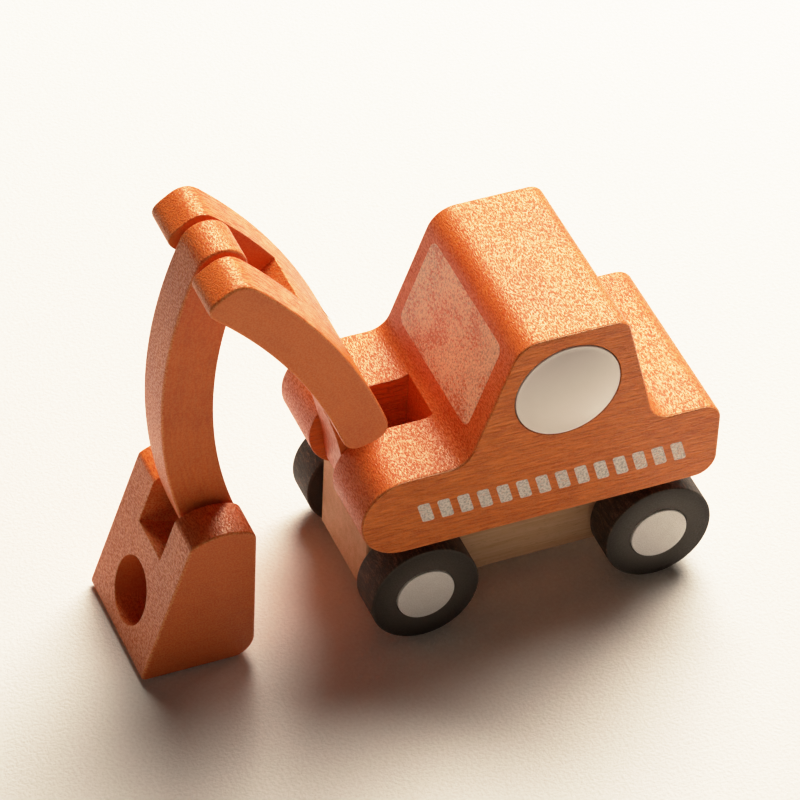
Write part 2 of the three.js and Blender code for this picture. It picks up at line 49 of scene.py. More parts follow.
# ------------------------------------------------------------------------------------------------
# Sizes in millimetres. Places come from the boxes of the CAD nodes.
# ------------------------------------------------------------------------------------------------


def box(node):
    """The lowest and highest corners of a CAD node, in millimetres."""
    low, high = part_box(node)
    return Vector(low) / MM, Vector(high) / MM


def centre(node):
    low, high = box(node)
    return (low + high) / 2


def pivot(node):
    """Where a cross dowel's axis meets the XZ plane."""
    middle = centre(node)
    return (middle.x, middle.z)


FACE_GAP = 0.3
BORE_GAP = 0.3
CUT = 5.0

PEG_BORE = 5.3
PEG_HEAD_HEIGHT = 4.0

WHEEL_BORE = 3.3
WHEEL_EDGE = 0.8
HUB_RECESS_RADIUS = 9.55
HUB_THICKNESS = 1.3
HUB_PROUD = 0.4
HUB_EDGE = 0.35

PIN_RADIUS = 3.0
PIN_COVER = 7.0

HOOD_HEIGHT = 29.2
DECK_HEIGHT = 28.5
WINDSHIELD_BASE = 27.5
WINDSHIELD_TOP = 12.5
ROOF_REAR = -22.0
CAB_BACK = -33.5
HOOD_SLOT_BACK = 28.9
HOOD_SLOT_HALF = 9.5
PORTHOLE_RIM = 0.5
PORTHOLE_DOME = 3.0

BOOM_BEND = 156.7
BOOM_DEPTH = 14.6
BOOM_FOOT_ANGLE = math.radians(173.6)
BOOM_CHEEK_ANGLE = math.radians(162)
BOOM_TIP_ANGLE = math.radians(130.3)
BOOM_TIP_SKEW = math.radians(0.7)
BOOM_CORNER = 6.0
BOOM_TONGUE_HALF = 9.2
BOOM_SLOT_HALF = 9.5
BOOM_SLOT_LENGTH = 34.5

STICK_BEND = 137.0
STICK_DEPTH = 16.4
STICK_TOP_ANGLE = math.radians(22)
STICK_BOTTOM_ANGLE = math.radians(-20.5)

BUCKET_TOE_AHEAD = 28.9
BUCKET_BROW_AHEAD = 13.0
BUCKET_BROW_ABOVE = 7.6
BUCKET_CROWN_RADIUS = 19.4
BUCKET_HEEL_RADIUS = 7.0
BUCKET_TOE_RADIUS = 2.4
BUCKET_BACK_TOP_RADIUS = 2.5
BUCKET_SLOT_HALF = 9.0
BUCKET_SLOT_DEPTH = 15.4
SCOOP_RADIUS = 10.7
SCOOP_DEPTH = 15.0
SCOOP_UP_FACE = 16.8


def polar(centre, radius, angle):
    return (centre[0] + radius * math.cos(angle), centre[1] + radius * math.sin(angle))


BOOM_PIVOT = pivot("boom_pin")
STICK_PIVOT = pivot("stick_pin")
BUCKET_PIVOT = pivot("bucket_pin")
BOOM_CENTRE = polar(BOOM_PIVOT, -BOOM_BEND, BOOM_FOOT_ANGLE)
STICK_CENTRE = polar(STICK_PIVOT, -STICK_BEND, STICK_TOP_ANGLE)

# ------------------------------------------------------------------------------------------------
# Outlines in the XZ plane
# ------------------------------------------------------------------------------------------------


def arc(middle, radius, start, end, chord=1.3):
    """Points on an arc, the two ends included, at most a chord apart."""
    count = max(5, math.ceil(abs(end - start) * radius / chord))
    return [polar(middle, radius, start + (end - start) * i / count) for i in range(count + 1)]


def bend(start, corner, end, count=6):
    """A quadratic curve that rounds a corner."""
    points = []
    for i in range(count + 1):
        t = i / count
        a, b, c = (1 - t) ** 2, 2 * t * (1 - t), t * t
        points.append(tuple(a * start[k] + b * corner[k] + c * end[k] for k in (0, 1)))
    return points


def rounded_outline(corners):
    """A closed outline with an arc at each corner. A corner is (x, z, radius)."""
    points = []
    for i, (x, z, radius) in enumerate(corners):
        corner = Vector((x, z))
        inward = (Vector(corners[i - 1][:2]) - corner).normalized()
        outward = (Vector(corners[(i + 1) % len(corners)][:2]) - corner).normalized()
        half = math.acos(inward.dot(outward)) / 2
        middle = corner + (inward + outward).normalized() * (radius / math.sin(half))
        first = corner + inward * (radius / math.tan(half)) - middle
        last = corner + outward * (radius / math.tan(half)) - middle
        start = math.atan2(first.y, first.x)
        turn = (math.atan2(last.y, last.x) - start + math.pi) % (2 * math.pi) - math.pi
        points += arc(tuple(middle), radius, start, start + turn)
    return points


def square_ended_bar(centre, bend_radius, depth, near, far, skew, cut):
    """A curved bar with two square ends whose corners are rounded."""
    outer, inner = bend_radius + depth / 2, bend_radius - depth / 2
    tips = [polar(centre, outer, far + skew), polar(centre, inner, far - skew),
            polar(centre, inner, near), polar(centre, outer, near)]

    def along(a, b):
        share = cut / math.dist(a, b)
        return tuple(a[k] + (b[k] - a[k]) * share for k in (0, 1))

    points = arc(centre, outer, near - cut / outer, far + skew + cut / outer, 3)
    points += bend(points[-1], tips[0], along(tips[0], tips[1]))[1:]
    low = arc(centre, inner, far - skew + cut / inner, near - cut / inner, 3)
    points += bend(along(tips[1], tips[0]), tips[1], low[0])
    points += low[1:]
    points += bend(low[-1], tips[2], along(tips[2], tips[3]))[1:]
    points += bend(along(tips[3], tips[2]), tips[3], points[0])[:-1]
    return points


def round_ended_bar(centre, bend_radius, depth, high, low):
    outer, inner = bend_radius + depth / 2, bend_radius - depth / 2
    points = arc(centre, outer, high, low, 3)
    points += arc(polar(centre, bend_radius, low), depth / 2, low, low - math.pi)[1:]
    points += arc(centre, inner, low, high, 3)[1:]
    points += arc(polar(centre, bend_radius, high), depth / 2, high - math.pi, high - 2 * math.pi)[1:-1]
    return points


# ------------------------------------------------------------------------------------------------
# Meshes
# ------------------------------------------------------------------------------------------------


def new_object(name, bm):
    bmesh.ops.recalc_face_normals(bm, faces=bm.faces)
    mesh = bpy.data.meshes.new(name)
    bm.to_mesh(mesh)
    bm.free()
    made = bpy.data.objects.new(name, mesh)
    bpy.context.scene.collection.objects.link(made)
    return made


def prism(name, outline, low_y, high_y):
    """An outline run along Y, in millimetres, as a closed solid."""
    bm = bmesh.new()
    rows = [[bm.verts.new((x * MM, y * MM, z * MM)) for x, z in outline] for y in (low_y, high_y)]
    bm.faces.new(rows[0])
    bm.faces.new(rows[1])
    for i in range(len(outline)):
        j = (i + 1) % len(outline)
        bm.faces.new((rows[0][i], rows[0][j], rows[1][j], rows[1][i]))
    return new_object(name, bm)


def block(low, high):
    """A box as a cutting solid, from its two corners in millimetres."""
    outline = [(low[0], low[2]), (high[0], low[2]), (high[0], high[2]), (low[0], high[2])]
    return prism("cutter", outline, low[1], high[1])


def turned_block(corner, direction, low_y, high_y, reach):
    """A cutting box on one side of a line in the XZ plane, reaching along a direction."""
    side = (-direction[1], direction[0])
    points = []
    for s, t in ((-1, 0), (1, 0), (1, 1), (-1, 1)):
        points.append(tuple(corner[k] + reach * (s * side[k] + t * direction[k]) for k in (0, 1)))
    return prism("cutter", points, low_y, high_y)


def lathe(name, profile, axis, origin, flip=False, segments=96):
    """A profile of (radius, along) turned about an axis, in millimetres."""
    bm = bmesh.new()
    rings = []
    for radius, along in profile:
        if radius < 1e-6:
            rings.append([bm.verts.new((0, 0, along * MM))])
            continue
        ring = []
        for i in range(segments):
            angle = 2 * math.pi * i / segments
            x, y = radius * MM * math.cos(angle), radius * MM * math.sin(angle)
            ring.append(bm.verts.new((x, y, along * MM)))
        rings.append(ring)
    for a, b in zip(rings, rings[1:] + rings[:1]):
        if len(a) == 1 and len(b) == 1:
            continue
        for i in range(segments):
            j = (i + 1) % segments
            quad = [a[i % len(a)], a[j % len(a)], b[j % len(b)], b[i % len(b)]]
            corners = list(dict.fromkeys(quad))
            if len(corners) > 2:
                bm.faces.new(corners)
    turn = {"Y": Matrix.Rotation(math.radians(90 if flip else -90), 4, "X"), "Z": Matrix.Identity(4),
            "X": Matrix.Rotation(math.radians(90), 4, "Y")}[axis]
    bmesh.ops.transform(bm, matrix=Matrix.Translation(Vector(origin) * MM) @ turn, verts=bm.verts)
    return new_object(name, bm)


def rod(radius, x, z, low_y, high_y, segments=64):
    profile = [(0, 0), (radius, 0), (radius, high_y - low_y), (0, high_y - low_y)]
    return lathe("cutter", profile, "Y", (x, low_y, z), False, segments)


def upright_rod(radius, x, low_z, high_z):
    profile = [(0, 0), (radius, 0), (radius, high_z - low_z), (0, high_z - low_z)]
    return lathe("cutter", profile, "Z", (x, 0, low_z), False, 64)


def bake(obj):
    """Applies an object's modifiers to its mesh."""
    graph = bpy.context.evaluated_depsgraph_get()
    made = obj.evaluated_get(graph)
    mesh = bpy.data.meshes.new_from_object(made, preserve_all_data_layers=True, depsgraph=graph)
    obj.modifiers.clear()
    old = obj.data
    obj.data = mesh
    bpy.data.meshes.remove(old)


def combine(obj, tools, operation="DIFFERENCE"):
    for tool in tools:
        step = obj.modifiers.new("combine", "BOOLEAN")
        step.operation = operation
        step.solver = "EXACT"
        step.object = tool
        bake(obj)
        mesh = tool.data
        bpy.data.objects.remove(tool)
        bpy.data.meshes.remove(mesh)


SHARP = math.radians(27)


def soften(obj, width, fine=0.3, is_fine=None, segments=3):
    """Rounds every sharp edge. Edges for which is_fine(middle in mm) holds get the fine width."""
    bm = bmesh.new()
    bm.from_mesh(obj.data)
    bmesh.ops.remove_doubles(bm, verts=bm.verts, dist=1e-6)
    bmesh.ops.dissolve_degenerate(bm, edges=bm.edges, dist=1e-6)
    weight = bm.edges.layers.float.new("bevel_weight_edge")
    for edge in bm.edges:
        if len(edge.link_faces) != 2 or edge.calc_face_angle(0) < SHARP:
            continue
        middle = (edge.verts[0].co + edge.verts[1].co) / (2 * MM)
        edge[weight] = fine / width if is_fine and is_fine(middle) else 1.0
    for face in bm.faces:
        face.smooth = True
    bm.to_mesh(obj.data)
    bm.free()
    step = obj.modifiers.new("soften", "BEVEL")
    step.limit_method = "WEIGHT"
    step.width = width * MM
    step.segments = segments
    step.use_clamp_overlap = False
    step.harden_normals = True
    step.miter_outer = "MITER_SHARP"
    bake(obj)
    mark_edges(obj)


def mark_edges(obj):
    """Stores how strongly the surface turns at each vertex, for wear and, on the orange paint, a painted
    highlight along the edges.
    """
    bm = bmesh.new()
    bm.from_mesh(obj.data)
    turn = []
    for vert in bm.verts:
        edges = [edge for edge in vert.link_edges if len(edge.link_faces) == 2]
        turn.append(max((edge.calc_face_angle(0) for edge in edges), default=0))
    bm.free()
    values = obj.data.attributes.new("edge_turn", "FLOAT", "POINT")
    values.data.foreach_set("value", [min(1.0, max(0.0, (t - 0.12) / 0.4)) for t in turn])


def smooth(obj, angle=30):
    bm = bmesh.new()
    bm.from_mesh(obj.data)
    for face in bm.faces:
        face.smooth = True
    for edge in bm.edges:
        edge.smooth = len(edge.link_faces) == 2 and edge.calc_face_angle(0) < math.radians(angle)
    bm.to_mesh(obj.data)
    bm.free()
    mark_edges(obj)


def place(obj, body, material, slot_name, *nodes):
    obj.data.materials.clear()
    obj.data.materials.append(material)
    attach(obj, body)
    if nodes:
        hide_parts(*nodes)
    return obj


# ------------------------------------------------------------------------------------------------
# Materials
# ------------------------------------------------------------------------------------------------


class Graph:
    """A material's node tree, with short calls for the nodes used here."""

    def __init__(self, name):
        self.material = bpy.data.materials.new(name)
        self.material.use_nodes = True
        self.tree = self.material.node_tree
        self.tree.nodes.clear()
        self.shader = self.node("ShaderNodeBsdfPrincipled")
        out = self.node("ShaderNodeOutputMaterial")
        self.tree.links.new(self.shader.outputs[0], out.inputs["Surface"])
        self.where = self.node("ShaderNodeTexCoord")

    def node(self, kind, **settings):
        made = self.tree.nodes.new(kind)
        for key, value in settings.items():
            setattr(made, key, value)
        return made

    def put(self, socket, value):
        if hasattr(value, "links"):
            self.tree.links.new(value, socket)
        else:
            socket.default_value = value

    def math(self, operation, *values, clamp=False):
        made = self.node("ShaderNodeMath", operation=operation, use_clamp=clamp)
        for socket, value in zip(made.inputs, values):
            self.put(socket, value)
        return made.outputs[0]

    def vector(self, operation, *values):
        made = self.node("ShaderNodeVectorMath", operation=operation)
        for socket, value in zip(made.inputs, values):
            self.put(socket, value)
        return made.outputs["Value" if operation in ("DOT_PRODUCT", "LENGTH") else "Vector"]

    def split(self, value):
        made = self.node("ShaderNodeSeparateXYZ")
        self.put(made.inputs[0], value)
        return made.outputs

    def join(self, x, y, z):
        made = self.node("ShaderNodeCombineXYZ")
        for socket, value in zip(made.inputs, (x, y, z)):
            self.put(socket, value)
        return made.outputs[0]

    def noise(self, where, scale=1.0, detail=2.0, roughness=0.5, distortion=0.0):
        made = self.node("ShaderNodeTexNoise")
        self.put(made.inputs["Vector"], where)
        made.inputs["Scale"].default_value = scale
        made.inputs["Detail"].default_value = detail
        made.inputs["Roughness"].default_value = roughness
        made.inputs["Distortion"].default_value = distortion
        return made.outputs["Fac"]

    def ramp(self, value, low, high, to_low=0.0, to_high=1.0, smoothly=True):
        made = self.node("ShaderNodeMapRange", interpolation_type="SMOOTHSTEP" if smoothly else "LINEAR")
        for socket, item in zip(made.inputs, (value, low, high, to_low, to_high)):
            self.put(socket, item)
        return made.outputs[0]

    def mix(self, share, a, b):
        made = self.node("ShaderNodeMix", data_type="RGBA")
        self.put(made.inputs[0], share)
        self.put(made.inputs[6], a)
        self.put(made.inputs[7], b)
        return made.outputs[2]

    def blend(self, share, a, b):
        made = self.node("ShaderNodeMix", data_type="FLOAT")
        self.put(made.inputs[0], share)
        self.put(made.inputs[2], a)
        self.put(made.inputs[3], b)
        return made.outputs[0]

    def attribute(self, name):
        return self.node("ShaderNodeAttribute", attribute_name=name).outputs["Fac"]

    def bump(self, height, distance, strength=1.0):
        made = self.node("ShaderNodeBump")
        made.inputs["Strength"].default_value = strength
        made.inputs["Distance"].default_value = distance
        self.put(made.inputs["Height"], height)
        self.tree.links.new(made.outputs[0], self.shader.inputs["Normal"])

    def position(self):
        """Object coordinates in millimetres."""
        return self.vector("MULTIPLY", self.where.outputs["Object"], (1 / MM,) * 3)

    def sideness(self):
        """1 on faces that look along Y, 0 on faces that run along Y."""
        parts = self.split(self.where.outputs["Normal"])
        return self.ramp(self.math("ABSOLUTE", parts[1]), 0.55, 0.9)

    def along_bend(self, centre, radius):
        """Coordinates that follow a curved bar: along it, across it, and through its depth."""
        parts = self.split(self.position())
        dx = self.math("SUBTRACT", parts[0], centre[0])
        dz = self.math("SUBTRACT", parts[2], centre[1])
        angle = self.math("ARCTAN2", dz, dx)
        squares = self.math("ADD", self.math("MULTIPLY", dx, dx), self.math("MULTIPLY", dz, dz))
        out = self.math("POWER", squares, 0.5)
        return self.join(self.math("MULTIPLY", angle, radius), parts[1], out)

    def average(self, a, b, share=0.5):
        """The share of a, and the rest of b."""
        return self.math("ADD", self.math("MULTIPLY", a, share), self.math("MULTIPLY", b, 1 - share))


def scaled(graph, where, factors):
    return graph.vector("MULTIPLY", where, factors)


def thinned(colour, share=0.55):
    """A darker version of a colour."""
    return tuple(share * channel for channel in colour[:3]) + (1,)


ORANGE = (0.88, 0.205, 0.028, 1)
ORANGE_DEEP = (0.50, 0.052, 0.005, 1)
# A lighter golden orange for the edges of the paint: edge wear and a painted highlight.
ORANGE_EDGE_WEAR_AND_HIGHLIGHT = (0.90, 0.42, 0.14, 1)


def painted(name, where_of, lengthwise=False, side_grain=0.5, depth=0.0):
    """Orange paint that shows the wood under it.

    Cut faces run along Y and show end grain; side faces look along Y and show long grain.
    Lengthwise: the streaks on the cut faces run along the bar. Depth: painted shade that darkens the
    side faces.
    """
    g = Graph(name)
    where = where_of(g)
    side = g.sideness()
    streaks = (0.3, 1.9, 1.9) if lengthwise else (2.5, 0.9, 2.5)
    cut_grain = g.noise(scaled(g, where, streaks), 1.0, 2.0, 0.5)
    face_grain = g.noise(scaled(g, where, (0.13, 1.0, 1.1)), 1.0, 4.0, 0.7, 0.6)
    grit = g.noise(where, 1.8, 2.0, 0.6)
    clouds = g.noise(where, 0.06, 3.0, 0.5)

    speckle = g.ramp(g.average(cut_grain, grit, 0.6), 0.42, 0.58)
    # Cut faces get a deeper orange than side faces: painted shade on cut faces such as the windshield
    # slope, and painted sheen on the cab's lighter side faces.
    cut_grain_and_painted_shade = g.math("ADD", g.math("MULTIPLY", speckle, 0.55), 0.35)
    face_grain_and_painted_light = g.math("MULTIPLY", g.ramp(face_grain, 0.36, 0.66), 0.6 * side_grain)
    # Depth darkens the side faces with painted shade.
    face_grain_and_painted_light = g.math("ADD", face_grain_and_painted_light, depth)
    tone = g.math("ADD", g.blend(side, cut_grain_and_painted_shade, face_grain_and_painted_light), g.ramp(clouds, 0.4, 0.7, 0.0, 0.15))
    colour = g.mix(g.math("MINIMUM", tone, 1.0), ORANGE, ORANGE_DEEP)
    # The edges turn a lighter golden orange: partly edge wear, partly a painted highlight.
    lightened = g.math("MULTIPLY", g.attribute("edge_turn"), g.ramp(grit, 0.4, 0.6))
    colour = g.mix(g.math("MULTIPLY", lightened, 0.45), colour, ORANGE_EDGE_WEAR_AND_HIGHLIGHT)
    g.put(g.shader.inputs["Base Color"], colour)

    rough = g.blend(side, g.ramp(speckle, 0, 1, 0.34, 0.48), 0.46)
    gloss = g.blend(side, g.ramp(speckle, 0, 1, 0.80, 0.18), 0.5)
    g.put(g.shader.inputs["Roughness"], rough)
    g.put(g.shader.inputs["Specular IOR Level"], gloss)
    g.shader.inputs["Specular Tint"].default_value = (1.0, 0.91, 0.66, 1)

    cut_height = g.math("ADD", cut_grain, g.math("MULTIPLY", grit, 0.5))
    cut_height = g.math("MULTIPLY", cut_height, 0.5)
    face_height = g.math("MULTIPLY", face_grain, 2.2 * side_grain)
    face_height = g.math("ADD", face_height, g.math("MULTIPLY", grit, 0.12))
    g.bump(g.blend(side, cut_height, face_height), 0.0004)
    return g.material


def straight(g):
    return g.position()


def along_boom(g):
    return g.along_bend(BOOM_CENTRE, BOOM_BEND)


def along_stick(g):
    return g.along_bend(STICK_CENTRE, STICK_BEND)


def bare_wood(name, light=(0.70, 0.45, 0.26, 1), dark=(0.52, 0.29, 0.14, 1), axis=0):
    """Sanded wood whose grain runs along an axis: 0 is X, 1 is Y and 2 is Z."""
    g = Graph(name)
    where = g.position()

    def stretched(along, across):
        return scaled(g, where, tuple(along if i == axis else across for i in range(3)))

    grain = g.noise(stretched(0.06, 1.5), 1.0, 5.0, 0.62, 0.4)
    pores = g.noise(stretched(0.5, 4.0), 1.0, 2.0, 0.5)
    ring = g.noise(stretched(0.01, 0.25), 1.0, 2.0, 0.5)
    colour = g.mix(g.ramp(g.average(grain, ring, 0.6), 0.3, 0.7), dark, light)
    colour = g.mix(g.ramp(pores, 0.62, 0.72, 0.0, 0.5), colour, thinned(dark))
    g.put(g.shader.inputs["Base Color"], colour)
    g.put(g.shader.inputs["Roughness"], g.ramp(pores, 0.3, 0.7, 0.55, 0.72))
    g.shader.inputs["Specular IOR Level"].default_value = 0.4
    g.bump(g.math("ADD", grain, g.math("MULTIPLY", pores, 0.6)), 0.00012)
    return g.material


def black_stain(name):
    """Black wood stain, rubbed lighter on the treads and edges."""
    g = Graph(name)
    where = g.position()
    side = g.sideness()
    streak = g.noise(scaled(g, where, (0.9, 0.25, 0.9)), 1.0, 4.0, 0.65)
    grit = g.noise(where, 1.6, 3.0, 0.6)
    rough_wood = g.ramp(g.math("MULTIPLY", streak, grit), 0.2, 0.42)
    lightened = g.math("MULTIPLY", g.math("SUBTRACT", 1.0, side), rough_wood)
    colour = g.mix(lightened, (0.026, 0.019, 0.014, 1), (0.14, 0.085, 0.055, 1))
    colour = g.mix(g.math("MULTIPLY", g.attribute("edge_turn"), 0.6), colour, (0.11, 0.095, 0.08, 1))
    g.put(g.shader.inputs["Base Color"], colour)
    g.put(g.shader.inputs["Roughness"], g.ramp(grit, 0.3, 0.7, 0.55, 0.75))
    g.shader.inputs["Specular IOR Level"].default_value = 0.35
    tread_height = g.math("ADD", streak, grit)
    g.bump(g.blend(side, tread_height, g.math("MULTIPLY", grit, 0.5)), 0.0003)
    return g.material


def white_paint(name, light, dark, rough, speckle, depth):
    """White paint, with specks of the darker colour."""
    g = Graph(name)
    where = g.position()
    grit = g.noise(where, 2.6, 3.0, 0.65)
    cloud = g.noise(where, 0.25, 2.0, 0.5)
    colour = g.mix(g.math("MULTIPLY", g.ramp(grit, 0.4, 0.65), speckle), light, dark)
    colour = g.mix(g.math("MULTIPLY", g.ramp(cloud, 0.35, 0.7), 0.15), colour, dark)
    g.put(g.shader.inputs["Base Color"], colour)
    g.put(g.shader.inputs["Roughness"], g.ramp(grit, 0.3, 0.7, rough - 0.05, rough + 0.07))
    g.shader.inputs["Specular IOR Level"].default_value = 0.5
    g.bump(grit, depth)
    return g.material


def print_ink(name, ink, under, speckle):
    """Ink printed on the painted wood, thin enough for the paint's grain to show."""
    g = Graph(name)
    where = g.position()
    cut_grain = g.noise(scaled(g, where, (1.25, 0.6, 1.25)), 1.0, 3.0, 0.62)
    grit = g.noise(where, 1.7, 2.0, 0.6)
    cloud = g.noise(where, 0.07, 2.0, 0.5)
    stipple = g.noise(where, 1.3, 2.0, 0.7)
    patches = g.math("MULTIPLY", g.math("SUBTRACT", cloud, 0.5), -0.5)
    cover = g.math("ADD", g.average(cut_grain, grit), patches)
    bare = g.ramp(cover, 0.40, 0.50, speckle, 0.0)
    printed = g.mix(g.ramp(stipple, 0.42, 0.66), ink, thinned(ink))
    g.put(g.shader.inputs["Base Color"], g.mix(bare, printed, under))
    g.put(g.shader.inputs["Roughness"], g.ramp(grit, 0.3, 0.7, 0.34, 0.5))
    g.shader.inputs["Specular IOR Level"].default_value = 0.5
    g.bump(g.math("ADD", cut_grain, g.math("MULTIPLY", grit, 0.7)), 0.0003)
    return g.material


paint_body = painted("paint_cab", straight, side_grain=1.0)
# The depth values darken the side faces of the arm pieces with painted shade.
paint_boom = painted("paint_boom", along_boom, lengthwise=True, side_grain=0.15, depth=0.45)
paint_stick = painted("paint_stick", along_stick, side_grain=0.25, depth=0.5)
paint_bucket = painted("paint_bucket", straight, side_grain=0.15, depth=0.65)
wood_block = bare_wood("wood_chassis")
wood_dowel = bare_wood("wood_dowel", (0.66, 0.42, 0.23, 1), (0.48, 0.26, 0.12, 1), axis=1)
wood_peg = bare_wood("wood_peg", axis=2)
stain = black_stain("stain_black")
hub_white = white_paint("paint_hub", (0.90, 0.88, 0.86, 1), (0.66, 0.62, 0.58, 1), 0.5, 0.6, 0.0001)
porthole_white = white_paint(
    "paint_porthole", (0.90, 0.84, 0.80, 1), (0.86, 0.79, 0.74, 1), 0.2, 0.15, 0.000012)
windshield_ink = print_ink("ink_windshield", (1.0, 0.74, 0.52, 1), (0.60, 0.12, 0.03, 1), 0.85)
side_ink = print_ink("ink_side", (0.86, 0.77, 0.70, 1), (0.75, 0.35, 0.20, 1), 0.4)

# ------------------------------------------------------------------------------------------------
# Chassis, swivel and wheels
# ------------------------------------------------------------------------------------------------


def build_chassis():
    low, high = box("chassis_block")
    washer_low, washer_high = box("swivel_washer")
    peg_low, peg_high = box("swivel_peg")
    swivel = centre("swivel_washer")
    washer_radius = (washer_high.x - washer_low.x) / 2
    head_radius = (peg_high.x - peg_low.x) / 2
    head_top = peg_low.z + PEG_HEAD_HEIGHT
    outline = [(low.x, low.z), (high.x, low.z), (high.x, high.z), (low.x, high.z)]
    chassis = prism("chassis_wood", outline, low.y, high.y)
    combine(chassis, [
        rod(WHEEL_BORE, *pivot("front_axle"), low.y - CUT, high.y + CUT),
        rod(WHEEL_BORE, *pivot("rear_axle"), low.y - CUT, high.y + CUT),
        upright_rod(PEG_BORE, swivel.x, low.z - CUT, high.z + CUT),
        upright_rod(head_radius + BORE_GAP, swivel.x, low.z - CUT, head_top + FACE_GAP),
        upright_rod(washer_radius + BORE_GAP, swivel.x, washer_low.z - FACE_GAP, high.z + CUT),
    ])
    axle_z = centre("front_axle").z

    def is_fine(p):
        return math.hypot(p.x - swivel.x, p.y) < washer_radius + 1 or abs(p.z - axle_z) < 4

    soften(chassis, 0.9, 0.35, is_fine)
    place(chassis, "chassis", wood_block, "bare_wood", "chassis_block")


def wheel_profile(radius, width):
    recess = HUB_RECESS_RADIUS
    floor_at = width - (HUB_THICKNESS - HUB_PROUD + FACE_GAP)
    points = [(WHEEL_BORE, 0.2), (WHEEL_BORE + 0.2, 0)]
    points += arc((radius - WHEEL_EDGE, WHEEL_EDGE), WHEEL_EDGE, -math.pi / 2, 0, 0.2)
    points += arc((radius - WHEEL_EDGE, width - WHEEL_EDGE), WHEEL_EDGE, 0, math.pi / 2, 0.2)
    points += [(recess + 0.25, width), (recess + 0.05, width - 0.1), (recess, width - 0.3)]
    return points + [(recess, floor_at), (WHEEL_BORE, floor_at)]


def hub_profile(radius, thick):
    points = [(0, 0), (radius, 0)]
    points += arc((radius - HUB_EDGE, thick - HUB_EDGE), HUB_EDGE, 0, math.pi / 2, 0.12)
    return points + [(radius * 0.6, thick - 0.02), (0, thick - 0.03)]


def build_wheels():
    for end in ("front", "rear"):
        x, z = pivot(f"{end}_axle")
        for flank, sign in (("left", 1), ("right", -1)):
            for kind, profile, material, slot_name in (
                ("wheel", wheel_profile, stain, "black_stain"),
                ("hub_cap", hub_profile, hub_white, "hub_white"),
            ):
                node = f"{end}_{kind}_{flank}"
                low, high = box(node)
                inner = low.y if sign > 0 else high.y
                outline = profile((high.x - low.x) / 2, high.y - low.y)
                piece = lathe(f"{node}_turned", outline, "Y", (x, inner, z), sign < 0)
                smooth(piece)
                place(piece, f"{end}_wheelset", material, slot_name, node)


def finish_hidden_wood():
    """The CAD pieces that hardly show keep their shape and get real wood."""
    for node, material in (
        ("front_axle", wood_dowel),
        ("rear_axle", wood_dowel),
        ("swivel_washer", wood_peg),
        ("swivel_peg", wood_peg),
    ):
        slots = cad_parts[node].data.materials
        slots.clear()
        slots.append(material)


# ------------------------------------------------------------------------------------------------
# Cab body
# ------------------------------------------------------------------------------------------------


def build_cab():
    low, high = box("cab_body")
    swivel_x = centre("swivel_washer").x
    hood_z = low.z + HOOD_HEIGHT
    deck_z = low.z + DECK_HEIGHT
    outline = rounded_outline([
        (high.x, low.z, 14.1),
        (high.x, hood_z, 14.5),
        (swivel_x + WINDSHIELD_BASE, hood_z, 7.4),
        (swivel_x + WINDSHIELD_TOP, high.z, 9.6),
        (swivel_x + ROOF_REAR, high.z, 5.1),
        (swivel_x + CAB_BACK, deck_z, 7.6),
        (low.x, deck_z, 6.3),
        (low.x, low.z, 7.0),
    ])
    porthole_low, porthole_high = box("porthole_left")
    porthole = pivot("porthole_left")
    porthole_radius = (porthole_high.x - porthole_low.x) / 2
    recess = porthole_low.y - FACE_GAP
    slot_back = swivel_x + HOOD_SLOT_BACK
    cab = prism("cab_body_sanded", outline, low.y, high.y)
    combine(cab, [
        block((slot_back, -HOOD_SLOT_HALF, low.z - CUT), (high.x + CUT, HOOD_SLOT_HALF, high.z + CUT)),
        rod(porthole_radius + BORE_GAP, *porthole, recess, high.y + CUT, 128),
        rod(porthole_radius + BORE_GAP, *porthole, low.y - CUT, -recess, 128),
        rod(PIN_RADIUS + BORE_GAP, *BOOM_PIVOT, low.y - CUT, high.y - PIN_COVER),
        upright_rod(PEG_BORE, swivel_x, low.z - CUT, box("swivel_peg")[1].z + FACE_GAP),
    ])

    def is_fine(p):
        by_porthole = math.dist((p.x, p.z), porthole) < porthole_radius + 1
        by_pin = math.dist((p.x, p.z), BOOM_PIVOT) < PIN_RADIUS + 1
        by_slot = abs(p.y) < HOOD_SLOT_HALF + 0.5 and p.x > slot_back - 0.5
        return by_porthole or by_pin or by_slot

    soften(cab, 0.8, 0.28, is_fine)
    place(cab, "upper", paint_body, "orange_paint", "cab_body")


def porthole_profile(radius, thick):
    """A domed button: a thin flat rim, then a cap of a sphere."""
    inner = radius - PORTHOLE_RIM
    sphere = (inner ** 2 + PORTHOLE_DOME ** 2) / (2 * PORTHOLE_DOME)
    rim = thick - PORTHOLE_DOME
    points = [(0, 0), (radius, 0), (radius, rim - 0.2), (radius - 0.2, rim)]
    opening = math.asin(inner / sphere)
    for i in range(17):
        angle = opening * (1 - i / 16)
        points.append((sphere * math.sin(angle), thick - sphere + sphere * math.cos(angle)))
    return points


def build_portholes():
    for flank, sign in (("left", 1), ("right", -1)):
        node = f"porthole_{flank}"
        low, high = box(node)
        x, z = pivot(node)
        inner = low.y if sign > 0 else high.y
        profile = porthole_profile((high.x - low.x) / 2, high.y - low.y)
        button = lathe(f"{node}_domed", profile, "Y", (x, inner, z), sign < 0, 128)
        smooth(button, 40)
        place(button, "upper", porthole_white, "porthole_white", node)


